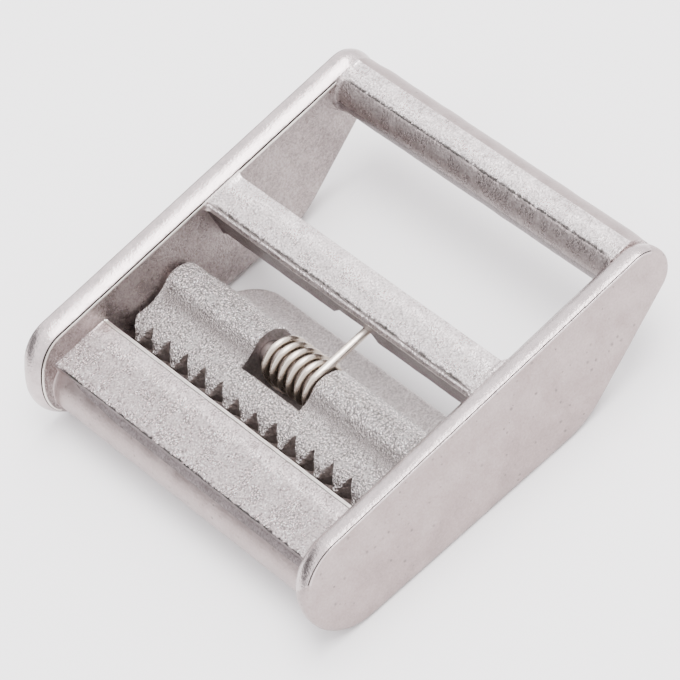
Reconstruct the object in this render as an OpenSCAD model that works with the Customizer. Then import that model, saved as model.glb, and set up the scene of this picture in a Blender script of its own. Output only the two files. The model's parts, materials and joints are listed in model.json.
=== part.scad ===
// Cam buckle for 38 mm webbing: a one-piece cast frame, a toothed cam with its
// lever, the pin that the cam turns on and the torsion spring that closes it.
// The buckle stands on the lower edges of its side plates, on the plane z = 0.
// Shapes are drawn in the side view (u backwards, v upwards from the straight
// top edge of the plates) and then tilted until the lower edge is level.

/* [Frame] */
// Clear width between the side plates
inner_w = 40.3; // [39.5:0.1:44]
// Thickness of a side plate
plate_t = 2.6; // [2:0.1:3.2]
// Height of the domed rim above the edge of a plate's flat face
rim_crown = 0.45; // [0.2:0.05:0.6]
// Height of the side plate where the front bar begins
plate_h = 9.75; // [9.5:0.05:10]
// Fall of the plate's lower edge away from its top edge, in degrees
wedge = 2.8; // [2:0.1:3.5]
// Radius of the plate's rear end
rear_r = 2.4; // [2:0.1:2.8]
// Distance from the front bar's top edge to the plate's rear end
rear_reach = 42.2; // [41.5:0.1:44]
// Slope of the plate's rear underside, in degrees
rear_slope = 27.5; // [25:0.5:30]
// Radius between the lower edge and the rear underside
heel_r = 9; // [6:0.5:10]

/* [Front bar] */
// Width of the bar's flat top, up to the rounding of its rear edge
front_w = 6.1; // [5:0.1:6.2]
// Depth of the flat top below the plates' top edge
front_drop = 2.5; // [2:0.1:3]
// Radius of the bar's round nose
nose_bar_r = 3.4; // [3:0.1:3.6]

/* [Middle bar] */
// Distance of the flat top's front edge from the front bar
middle_u = 21.1; // [21:0.1:22]
// Width of the flat top
middle_w = 3.9; // [3:0.1:5]
// Height of the middle bar
middle_h = 4.4; // [4:0.05:5]
// Width of the spring notch at its roof
notch_w = 4.7; // [4:0.1:5]

/* [Rear bar] */
// Radius of the rear bar
rear_bar_r = 2.8; // [2.6:0.05:2.9]

/* [Cam] */
// Length of the cam across the buckle
cam_w = 39.5; // [38:0.1:39.5]
// Number of teeth along the cam
teeth = 14; // [12:1:15]
// Depth of the grooves between the teeth
tooth_d = 1.25; // [1:0.05:1.4]
// Radius of the hub round the pin
hub_r = 2.45; // [2.2:0.05:2.5]
// Thickness of the lever plate
lever_t = 1.45; // [1.2:0.05:1.5]
// Width of the lever
lever_w = 37.6; // [36:0.1:39]
// Rounding of the lever's corners, seen from above
lever_corner = 5.5; // [2:0.1:6]
// Width of the gap in the hub for the spring
gap_w = 8.7; // [8.4:0.1:9]
// How far the lever is pressed in, in degrees
press = 0; // [0:1:27]

/* [Pin and spring] */
// Diameter of the hinge pin
pin_d = 2.5; // [2.2:0.1:2.6]
// Diameter of the spring wire
wire_d = 0.87; // [0.7:0.01:0.9]
// Outer diameter of the spring's coil
coil_d = 5.15; // [5:0.05:5.3]

/* [Hidden] */
$fn = 96;
far = 60;

// Outline of a side plate: the centres of its round ends and its tangent points
fall = tan(wedge);
climb = tan(rear_slope);
nose_front = -3.0;
nose_r = (plate_h + fall*nose_front) / (1 + 1/cos(wedge) - fall);
nose_u = nose_front + nose_r;
rear_u = rear_reach - rear_r;
slant_v = -(rear_r + climb*rear_u + rear_r/cos(rear_slope));
heel_u = (-slant_v - plate_h) / (climb + fall);
heel_v = -plate_h - fall*heel_u;
heel_turn = wedge + rear_slope;
heel_tan = heel_r*tan(heel_turn/2);
heel_low = [heel_u - heel_tan*cos(wedge), heel_v + heel_tan*sin(wedge)];
heel_high = [heel_u + heel_tan*cos(rear_slope), heel_v + heel_tan*sin(rear_slope)];
heel_c = heel_low + heel_r*[sin(wedge), cos(wedge)];
nose_low = [nose_u, -nose_r] - nose_r*[sin(wedge), cos(wedge)];
rear_low = [rear_u, -rear_r] + rear_r*[sin(rear_slope), -cos(rear_slope)];
crown_r = (plate_t*plate_t/4 + rim_crown*rim_crown) / (2*rim_crown);
crown_turn = asin(plate_t/2/crown_r);
rim_depth = 2;
lap = 1;
nose_c = [nose_u, -nose_r];
rear_c = [rear_u, -rear_r];
slant_in = [-sin(rear_slope), cos(rear_slope)];
lower_in = [sin(wedge), cos(wedge)];
plate_x = inner_w/2 + plate_t/2;
stand_v = plate_h*cos(wedge) + rim_crown;

// Front bar: its rounded rear edge and the cam-side face behind it
front_edge_r = 0.5;
front_back = front_w + front_edge_r;
nose_bar = [1.6, -6.35];
nose_top_a = 118;
front_foot = 1.5;
front_foot_v = -9.35;

// Middle bar: the blunt front edge, the drafts of both faces, and the notch's place
middle_top = -0.4;
blunt_v = -1.0;
parting_v = -2.95;
draft_up = 0.55;
draft_down = 0.3;
notch_depth = 1.9;
notch_x = 1.55;
notch_flare = 2.1;

// Rear bar
rear_bar = [39.9, -2.6];
rear_flat = -0.06;

// Fillets where the bars run into the side plates, and how deep the bars run in
fillet_r = 0.65;
sink = 0.2;

// Cam: the pin's place, the toothed ridge and the lever
pin = [14.24, -5.6];
cam_x = -0.28;
bore_gap = 0.03;
hub = pin + [0.26, 0];
hub_turn = 135;
ridge_r = 1.7;
ridge = [9.3, -5.9];
toe_r = 0.7;
toe = [7.65, -8.6];
toe_flat = 0.6;
saddle = [[12.2, -4.28], [11.5, -4.42], [10.6, -4.36]];
web = [[0.8, 0], [0.15, 0.65]];
plan_back = 16.7;
lever_end = 20.5;
lever_lift = 0.3;
hub_back = 16.5;
gap_front = 11.1;
gap_back = 18.5;
gap_x = -0.47;
pitch = cam_w/teeth;
groove_low = -8;
groove_len = 12;
tooth_lean = atan((ridge[0] - ridge_r - toe[0] + toe_r) / (ridge[1] - toe[1]));

// Pin: how far short of the right plate's outer face its blind hole ends
blind = 1.0;

// Spring: the coil's centre line and its two legs
coil_r = (coil_d - wire_d)/2;
coil_c = pin + [0.3, 0.1];
coil_turns = 5.25;
coil_x0 = -3.53;
coil_x1 = 3.05;
turn_steps = 24;
wire_sides = 10;
leg_end = 22.2;
leg_drop = 0.05;
leg_foot = -9.0;
leg_bend = 1.0;

// Foremost and rearmost points of the tilted buckle
front_y = nose_u*cos(wedge) + nose_r*sin(wedge) - nose_r - rim_crown;
back_y = rear_bar[0]*cos(wedge) - rear_bar[1]*sin(wedge) + rear_bar_r;

// Height of the plane that the buckle stands on, seen at u
function under(u) = -plate_h - fall*u - rim_crown/cos(wedge);

// Points of an arc about c, from angle a0 to a1
function arc(c, r, a0, a1, n = 12) =
    [for (i = [0 : n]) let (a = a0 + (a1 - a0)*i/n) c + r*[cos(a), sin(a)]];

// Stands the side view upright: the plates' lower edge level at z = 0, and the
// middle of the buckle's length, from plate nose to rear bar, at y = 0
module stand() {
    translate([0, -(front_y + back_y)/2, stand_v])
        rotate([wedge, 0, 0])
            children();
}

// Extrudes a side view across the buckle, centred on x
module across(w) {
    rotate([90, 0, 90])
        linear_extrude(height = w, center = true)
            children();
}

// Section of a plate's rim: outwards is +y, the plate lies below
function rim_section(depth) =
    concat([[-plate_t/2, -depth], [plate_t/2, -depth]],
           arc([0, rim_crown - crown_r], crown_r, 90 - crown_turn, 90 + crown_turn, 8));

// Straight stretch of rim from a to b, with the plate on its left-hand side
module rim_line(a, b) {
    run = b - a;
    translate([0, b[0], b[1]])
        rotate([atan2(run[1], run[0]) + 90, 0, 0])
            linear_extrude(height = norm(run))
                mirror([0, 1, 0])
                    polygon(rim_section(rim_depth));
}

// Round stretch of rim about c, from direction a0 through the turn
module rim_arc(c, r, a0, turn, depth) {
    translate([0, c[0], c[1]])
        rotate([a0, 0, 0])
            rotate([90, 0, 90])
                rotate_extrude(angle = turn)
                    polygon([for (q = rim_section(depth)) [max(0, r + q[1]), -q[0]]]);
}

module side_plate() {
    across(plate_t)
        polygon(concat(
            [nose_c, [nose_u, -lap], [rear_u, -lap], rear_c, rear_low + lap*slant_in],
            arc(heel_c, heel_r - lap, -90 + rear_slope, -90 - wedge, 8),
            [nose_low + lap*lower_in]));
    rim_arc(nose_c, nose_r, 90, 180 - wedge, nose_r);
    rim_line(nose_low, heel_low);
    rim_arc(heel_c, heel_r, -90 - wedge, heel_turn, rim_depth);
    rim_line(heel_high, rear_low);
    rim_arc(rear_c, rear_r, -90 + rear_slope, 180 - rear_slope, rear_r);
    rim_line([rear_u, 0], [nose_u, 0]);
}

module front_bar_outline() {
    polygon(concat(
        [[0, -front_drop]],
        arc(nose_bar, nose_bar_r, nose_top_a, 270, 24),
        arc([front_back - front_foot, front_foot_v + front_foot], front_foot, -90, 0, 6),
        arc([front_w, -front_drop - front_edge_r], front_edge_r, 0, 90, 5)));
}

module middle_bar_outline() {
    polygon([[middle_u, middle_top], [middle_u + middle_w, middle_top],
             [middle_u + middle_w + draft_up, parting_v],
             [middle_u + middle_w + draft_up - draft_down, middle_top - middle_h],
             [middle_u - draft_up + draft_down, middle_top - middle_h],
             [middle_u - draft_up, blunt_v]]);
}

module rear_bar_outline() {
    intersection() {
        translate(rear_bar)
            circle(rear_bar_r);
        translate([0, rear_flat - far])
            square(far);
    }
}

// Fillet along the top of a bar from u0 to u1, in the corner at the left plate
module bar_fillet(u0, u1, v) {
    translate([-inner_w/2, u1, v])
        rotate([90, 0, 0])
            linear_extrude(height = u1 - u0)
                intersection() {
                    difference() {
                        translate([-sink, -sink])
                            square(fillet_r + sink);
                        translate([fillet_r, fillet_r])
                            circle(fillet_r);
                    }
                    translate([-sink, -sink])
                        square([fillet_r + sink, sink - v]);
                }
}

// Notch in the middle bar's lower front edge, where the spring's leg hooks in
module spring_notch() {
    low = parting_v - middle_h;
    translate([notch_x, middle_u - draft_up + notch_depth, 0])
        rotate([90, 0, 0])
            linear_extrude(height = notch_depth + draft_up)
                polygon([[-notch_w/2, parting_v], [notch_w/2, parting_v], [notch_w/2, low],
                         [-notch_w/2 - notch_flare, low],
                         [-notch_w/2 - notch_flare, middle_top - middle_h]]);
}

module cast_frame() {
    color("lightgrey")
        stand()
            difference() {
                union() {
                    for (s = [-1, 1])
                        translate([s*plate_x, 0, 0])
                            side_plate();
                    across(inner_w + 2*sink)
                        front_bar_outline();
                    across(inner_w + 2*sink)
                        middle_bar_outline();
                    across(inner_w + 2*sink)
                        rear_bar_outline();
                    for (s = [0, 1])
                        mirror([s, 0, 0]) {
                            bar_fillet(sink, front_w, -front_drop);
                            bar_fillet(middle_u, middle_u + middle_w, middle_top);
                        }
                }
                spring_notch();
                translate([-plate_x - plate_t, pin[0], pin[1]])
                    rotate([0, 90, 0])
                        cylinder(d = pin_d, h = 2*plate_x + plate_t + plate_t/2 - blind);
            }
}

module cam_outline() {
    floor_v = lever_lift + lever_t;
    polygon(concat(
        arc(hub, hub_r, -10, hub_turn, 26),
        saddle,
        arc(ridge, ridge_r, 85, 180 - tooth_lean, 12),
        arc(toe, toe_r, 180 - tooth_lean, 270, 6),
        [[toe[0] + toe_flat, under(toe[0]) + lever_lift],
         [lever_end, under(lever_end) + lever_lift],
         [lever_end, under(lever_end) + floor_v],
         [hub_back, under(hub_back) + floor_v] + web[0],
         [hub_back, under(hub_back) + floor_v] + web[1]]));
}

// Rounded corner of the lever, seen from above
function lever_round(x, a0) = arc([x, lever_end - lever_corner], lever_corner, a0, a0 + 90, 12);

// Plan of the cam: full width as far as the hub, then the lever with its round corners
module lever_plan() {
    polygon(concat(
        [[-cam_w/2, 0], [cam_w/2, 0], [cam_w/2, plan_back], [lever_w/2, plan_back]],
        lever_round(lever_w/2 - lever_corner, 0),
        lever_round(lever_corner - lever_w/2, 90),
        [[-lever_w/2, plan_back], [-cam_w/2, plan_back]]));
}

// One groove between two teeth, running down the cam's front face
module tooth_groove() {
    translate([0, ridge[0] - ridge_r, ridge[1]])
        rotate([-tooth_lean, 0, 0])
            translate([0, 0, groove_low])
                linear_extrude(height = groove_len)
                    polygon([[-pitch, -tooth_d], [pitch, -tooth_d], [0, tooth_d]]);
}

module cam_lever() {
    color("gainsboro")
        stand()
            translate([cam_x, pin[0], pin[1]])
                rotate([press, 0, 0])
                    translate([0, -pin[0], -pin[1]])
                        difference() {
                            intersection() {
                                across(cam_w)
                                    cam_outline();
                                translate([0, 0, -far/2])
                                    linear_extrude(height = far)
                                        lever_plan();
                            }
                            for (i = [0 : teeth])
                                translate([(i - teeth/2)*pitch, 0, 0])
                                    tooth_groove();
                            translate([gap_x - gap_w/2, gap_front, under(pin[0]) + lever_lift + lever_t])
                                cube([gap_w, gap_back - gap_front, far]);
                            translate([-cam_w, pin[0], pin[1]])
                                rotate([0, 90, 0])
                                    cylinder(d = pin_d + 2*bore_gap, h = 2*cam_w);
                        }
}

module hinge_pin() {
    color("silver")
        stand()
            translate([-plate_x - plate_t/2, pin[0], pin[1]])
                rotate([0, 90, 0])
                    cylinder(d = pin_d, h = 2*plate_x + plate_t - blind);
}

// Centre line of the spring wire: down-leg, coil, then the leg to the middle bar
function coil_point(t) =
    let (a = 180 - 360*t)
    [coil_x0 + (coil_x1 - coil_x0)*t/coil_turns, coil_c[0] + coil_r*cos(a), coil_c[1] + coil_r*sin(a)];
coil_steps = turn_steps*coil_turns;
coil_end = coil_point(coil_turns);
spring_path = concat(
    [[coil_x0, coil_c[0] - coil_r, leg_foot], [coil_x0, coil_c[0] - coil_r, coil_c[1] - leg_bend]],
    [for (i = [0 : coil_steps]) coil_point(i/turn_steps)],
    [[coil_x1, coil_end[1] + leg_bend, coil_end[2]], [coil_x1, leg_end, coil_end[2] - leg_drop]]);

// Direction of the path at point i, along the chord through its neighbours
function heading(path, i) =
    let (d = path[min(i + 1, len(path) - 1)] - path[max(i - 1, 0)])
    d/norm(d);

// One ring of the wire's surface: the across direction is x made square to the path
function ring(path, i) =
    let (t = heading(path, i),
         raw = [1, 0, 0] - t[0]*t,
         side = raw/norm(raw),
         up = cross(t, side))
    [for (k = [0 : wire_sides - 1])
        path[i] + wire_d/2*(cos(360*k/wire_sides)*side + sin(360*k/wire_sides)*up)];

module wire(path) {
    n = len(path);
    polyhedron(
        points = [for (i = [0 : n - 1]) each ring(path, i)],
        faces = concat(
            [[for (k = [wire_sides - 1 : -1 : 0]) k]],
            [[for (k = [0 : wire_sides - 1]) (n - 1)*wire_sides + k]],
            [for (i = [0 : n - 2], k = [0 : wire_sides - 1])
                let (j = (k + 1) % wire_sides)
                [i*wire_sides + k, i*wire_sides + j, (i + 1)*wire_sides + j, (i + 1)*wire_sides + k]]));
}

module torsion_spring() {
    color("beige")
        stand()
            wire(spring_path);
}

cast_frame();
cam_lever();
hinge_pin();
torsion_spring();
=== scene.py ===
"""Cam buckle in cast stainless steel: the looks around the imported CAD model.

Shapes are drawn in the buckle's side view, in millimetres: x across the buckle, u backwards
and v upwards from the straight top edge of the side plates. SideView turns them to the frame.
"""
import json
import logging
import math
from collections.abc import Callable
from dataclasses import dataclass
from enum import Enum

import bpy
import numpy as np
from mathutils import Matrix, Vector, noise

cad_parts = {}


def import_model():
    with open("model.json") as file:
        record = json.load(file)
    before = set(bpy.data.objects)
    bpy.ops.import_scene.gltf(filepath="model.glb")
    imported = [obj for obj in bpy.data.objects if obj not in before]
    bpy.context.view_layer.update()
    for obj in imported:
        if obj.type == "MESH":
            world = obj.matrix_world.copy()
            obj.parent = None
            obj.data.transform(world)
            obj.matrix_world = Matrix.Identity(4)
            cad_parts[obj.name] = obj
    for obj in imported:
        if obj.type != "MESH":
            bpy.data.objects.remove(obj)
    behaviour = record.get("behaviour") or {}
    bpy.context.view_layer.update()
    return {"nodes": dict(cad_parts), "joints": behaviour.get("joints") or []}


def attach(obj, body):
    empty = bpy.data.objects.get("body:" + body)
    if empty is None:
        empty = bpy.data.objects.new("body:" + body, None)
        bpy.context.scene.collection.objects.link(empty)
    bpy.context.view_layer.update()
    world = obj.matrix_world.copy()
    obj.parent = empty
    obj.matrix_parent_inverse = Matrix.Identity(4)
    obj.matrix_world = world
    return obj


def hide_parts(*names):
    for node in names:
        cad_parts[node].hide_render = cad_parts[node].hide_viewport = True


LOG = logging.getLogger("cam_buckle")
MM = 0.001
# The clear width for the webbing, the side plates' height, and the fall of their lower
# edge towards the rear, in degrees
CLEAR_W = 40.3
PLATE_H = 9.75
WEDGE = 2.8
# Points of an outline that lie nearer than this, in millimetres, are one
TOUCHING = 1e-6
# Beside an edge with residue the mesh is this fine, and it grows coarser with the distance
FINE_STEP = 0.07
FINE_GROWTH = 0.6

Pair = tuple[float, float]
Socket = bpy.types.NodeSocket
Steels = list[bpy.types.Material]


def linear(code: str) -> tuple[float, float, float, float]:
    """Turns an sRGB hex colour to linear RGBA.

    Args:
        code: six hex digits.

    Returns:
        Red, green, blue and an alpha of 1.
    """
    parts = [int(code[i:i + 2], 16)/255 for i in (0, 2, 4)]
    bright = [c/12.92 if c <= 0.04045 else ((c + 0.055)/1.055)**2.4 for c in parts]
    return (*bright, 1.0)


def ease(value: np.ndarray | float, low: float, high: float) -> np.ndarray | float:
    """Rises smoothly from 0 at low to 1 at high."""
    t = np.clip((value - low)/(high - low), 0.0, 1.0)
    return t*t*(3.0 - 2.0*t)


def arc(centre: Pair, radius: float, start: float, end: float, steps: int = 12) -> np.ndarray:
    """Gives points along a circle's arc.

    Args:
        centre: the circle's centre.
        radius: its radius.
        start: the first angle, in degrees.
        end: the last angle, in degrees.
        steps: how many chords the arc has.

    Returns:
        An array of steps + 1 points.
    """
    angle = np.radians(np.linspace(start, end, steps + 1))
    return np.stack([centre[0] + radius*np.cos(angle), centre[1] + radius*np.sin(angle)], axis=1)


def outline(*runs: np.ndarray | list[Pair]) -> np.ndarray:
    """Joins runs of points to one closed outline, without doubled points.

    Args:
        *runs: arrays or lists of points, in their order.

    Returns:
        The outline's points.
    """
    points = np.concatenate([np.asarray(run, dtype=float).reshape(-1, 2) for run in runs])
    gap = np.linalg.norm(points - np.roll(points, 1, axis=0), axis=1)
    return points[gap > TOUCHING]


def travelled(points: np.ndarray) -> np.ndarray:
    """Gives how far along a line of points each of them lies."""
    return np.cumsum(np.linalg.norm(np.diff(points, axis=0, prepend=points[:1]), axis=1))


def soften(points: np.ndarray, radius: float, sharp: float = 22.0, most: float = 0.45) -> np.ndarray:
    """Rounds each corner of a closed outline that turns more than a given angle.

    Args:
        points: the outline.
        radius: the rounding's radius.
        sharp: the smallest turn that is rounded, in degrees.
        most: the largest share of an edge that a rounding takes.

    Returns:
        The outline with its corners replaced by short curves.
    """
    out = []
    for here, before, after in zip(points, np.roll(points, 1, axis=0), np.roll(points, -1, axis=0)):
        back, ahead = before - here, after - here
        lb, la = np.linalg.norm(back), np.linalg.norm(ahead)
        turn = math.acos(np.clip(-(back @ ahead)/(lb*la), -1, 1))
        if math.degrees(turn) < sharp:
            out.append(here)
            continue
        cut = min(radius*math.tan(turn/2), most*lb, most*la)
        first, last = here + back/lb*cut, here + ahead/la*cut
        out.extend((1 - t)**2*first + 2*t*(1 - t)*here + t*t*last for t in (0, 0.25, 0.5, 0.75, 1))
    return np.array(out)


def spread(points: np.ndarray, step: float, fine: Pair | None = None) -> np.ndarray:
    """Splits the long edges of a closed outline.

    Args:
        points: the outline.
        step: the longest edge that may stay.
        fine: a place near which the edges become shorter.

    Returns:
        The outline with added points.
    """
    out = []
    for here, after in zip(points, np.roll(points, -1, axis=0)):
        length = np.linalg.norm(after - here)
        place = here
        while length > TOUCHING:
            near = step
            if fine is not None:
                near = np.clip(np.hypot(*(place - fine))*FINE_GROWTH, FINE_STEP, step)
            cut = length/max(1, math.ceil(length/near))
            out.append(place)
            place = place + (after - place)*cut/length
            length = np.linalg.norm(after - place)
            if length < 0.3*cut:
                break
    return np.array(out)


def outward(points: np.ndarray) -> np.ndarray:
    """Finds which way an outline's points face.

    Args:
        points: a closed outline that runs anticlockwise.

    Returns:
        The outward unit normal of each point.
    """
    along = np.roll(points, -1, axis=0) - np.roll(points, 1, axis=0)
    along /= np.linalg.norm(along, axis=1, keepdims=True)
    return np.stack([along[:, 1], -along[:, 0]], axis=1)


def fillet(distance: float, radius: float) -> float:
    """Height of a fillet at a distance from the wall that it meets."""
    inside = min(max(radius - distance, 0.0), radius)
    return radius - math.sqrt(radius*radius - inside*inside)


def cast_bumps(points: np.ndarray, wave: float, seed: float) -> np.ndarray:
    """Reads smooth noise at points in millimetres.

    Args:
        points: an array of positions with three columns.
        wave: the size of a bump, in millimetres.
        seed: moves the pattern, so that two surfaces differ.

    Returns:
        A value from about -1 to 1 for each point.
    """
    shift = Vector((seed, -seed, 0.7*seed))
    return np.array([noise.noise(Vector(p)/wave + shift) for p in points])


def add_object(name: str, data: bpy.types.ID) -> bpy.types.Object:
    """Adds an object to the scene.

    Args:
        name: its name.
        data: its mesh, light or camera.

    Returns:
        The object.
    """
    made = bpy.data.objects.new(name, data)
    bpy.context.scene.collection.objects.link(made)
    return made


def loft(name: str, rings: np.ndarray, slots: Callable[[np.ndarray, np.ndarray], np.ndarray],
         caps: tuple[int, int], steel: Steels) -> bpy.types.Object:
    """Makes a closed mesh from rings of points.

    Args:
        name: the object's name.
        rings: positions in metres, one row of points for each ring.
        slots: gives the material slot of each face from its ring number and point number.
        caps: the material slots of the first and the last end face.
        steel: the materials, in the order of their slots.

    Returns:
        The new object, linked to the scene.
    """
    count, size = rings.shape[:2]
    r, k = np.meshgrid(np.arange(count - 1), np.arange(size), indexing="ij")
    after = (k + 1) % size
    quads = np.stack([r*size + k, r*size + after, (r + 1)*size + after, (r + 1)*size + k], axis=2)
    faces = quads.reshape(-1, 4).tolist()
    faces.append(list(range(size))[::-1])
    faces.append(list(range((count - 1)*size, count*size)))
    mesh = bpy.data.meshes.new(name)
    mesh.from_pydata(rings.reshape(-1, 3).tolist(), [], faces)
    for material in steel:
        mesh.materials.append(material)
    marks = np.concatenate([np.ravel(slots(r.ravel(), k.ravel())), caps]).astype(np.int32)
    mesh.polygons.foreach_set("material_index", marks)
    if signed_volume(mesh) < 0:
        mesh.flip_normals()
    return add_object(name, mesh)


def signed_volume(mesh: bpy.types.Mesh) -> float:
    """Measures a closed mesh.

    Args:
        mesh: the mesh.

    Returns:
        Its volume, negative where its faces look inwards.
    """
    mesh.calc_loop_triangles()
    corners = np.zeros(len(mesh.loop_triangles)*3, np.int32)
    mesh.loop_triangles.foreach_get("vertices", corners)
    places = np.zeros(len(mesh.vertices)*3, np.float32)
    mesh.vertices.foreach_get("co", places)
    a, b, c = places.reshape(-1, 3).astype(float)[corners.reshape(-1, 3)].transpose(1, 0, 2)
    return float((a*np.cross(b, c)).sum()/6)


class Join(Enum):
    """How a closed mesh changes another, in the words of the boolean modifier."""

    UNITE = "UNION"
    CUT = "DIFFERENCE"


def combine(base: bpy.types.Object, others: list[bpy.types.Object], how: Join) -> None:
    """Unites or cuts closed meshes, and leaves the result in the base object.

    Args:
        base: the object that is changed.
        others: the objects that are added or taken away, and then deleted.
        how: whether they are added or taken away.
    """
    for other in others:
        step = base.modifiers.new("combine", "BOOLEAN")
        step.operation = how.value
        step.solver = "MANIFOLD"
        step.object = other
        apply_modifiers(base)
        bpy.data.objects.remove(other)


def apply_modifiers(obj: bpy.types.Object) -> None:
    """Turns an object's modifiers to mesh.

    Args:
        obj: the object.
    """
    graph = bpy.context.evaluated_depsgraph_get()
    mesh = bpy.data.meshes.new_from_object(obj.evaluated_get(graph), depsgraph=graph)
    obj.modifiers.clear()
    obj.data = mesh


def shade(obj: bpy.types.Object, sharp: float) -> None:
    """Shades an object smooth, with edges sharp above an angle and flat faces kept flat.

    Args:
        obj: the object.
        sharp: the angle, in degrees.
    """
    obj.data.polygons.foreach_set("use_smooth", [True]*len(obj.data.polygons))
    obj.data.set_sharp_from_angle(angle=math.radians(sharp))
    step = obj.modifiers.new("flat faces", "WEIGHTED_NORMAL")
    step.keep_sharp = True
    apply_modifiers(obj)


def add_node(tree: bpy.types.NodeTree, kind: str, inputs: dict | None = None,
             **settings: str) -> bpy.types.Node:
    """Adds a shader node with its settings and links.

    Args:
        tree: the node tree.
        kind: the node's type, without ShaderNode before it.
        inputs: for each input's name or number, a value or another node's output.
        **settings: the node's properties.

    Returns:
        The new node.
    """
    made = tree.nodes.new(f"ShaderNode{kind}")
    for name, value in settings.items():
        setattr(made, name, value)
    for key, value in (inputs or {}).items():
        if isinstance(value, Socket):
            tree.links.new(value, made.inputs[key])
        else:
            made.inputs[key].default_value = value
    return made


class Surface(Enum):
    """The finishes on the frame's casting, in the order of its material slots."""

    SATIN = 0
    RIM = 1
    GRAIN = 2
    SIDE = 3
    SEAM_PAINTED_SHADE = 4
    LIP_PAINTED_HIGHLIGHT = 5
    SKIN_PAINTED_SHADE = 6
    BRIGHT = 7


class CamSurface(Enum):
    """The finishes on the cam, in the order of its material slots."""

    GRAIN = 0
    FLAT = 1
    TOOTH_PAINTED_LIGHT = 2
    GAP_PAINTED_SHADE = 3
    UNDERCUT_PAINTED_SHADE = 4


def dress(base: Surface, *rules: tuple[np.ndarray, Surface]) -> np.ndarray:
    """Gives the points of an outline their finishes.

    Args:
        base: the finish where no rule holds.
        *rules: for each finish, where it holds. A later rule goes over the ones before it.

    Returns:
        A material slot for each point.
    """
    slots = np.full(len(rules[0][0]), base.value)
    for holds, surface in rules:
        slots[holds] = surface.value
    return slots


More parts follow.
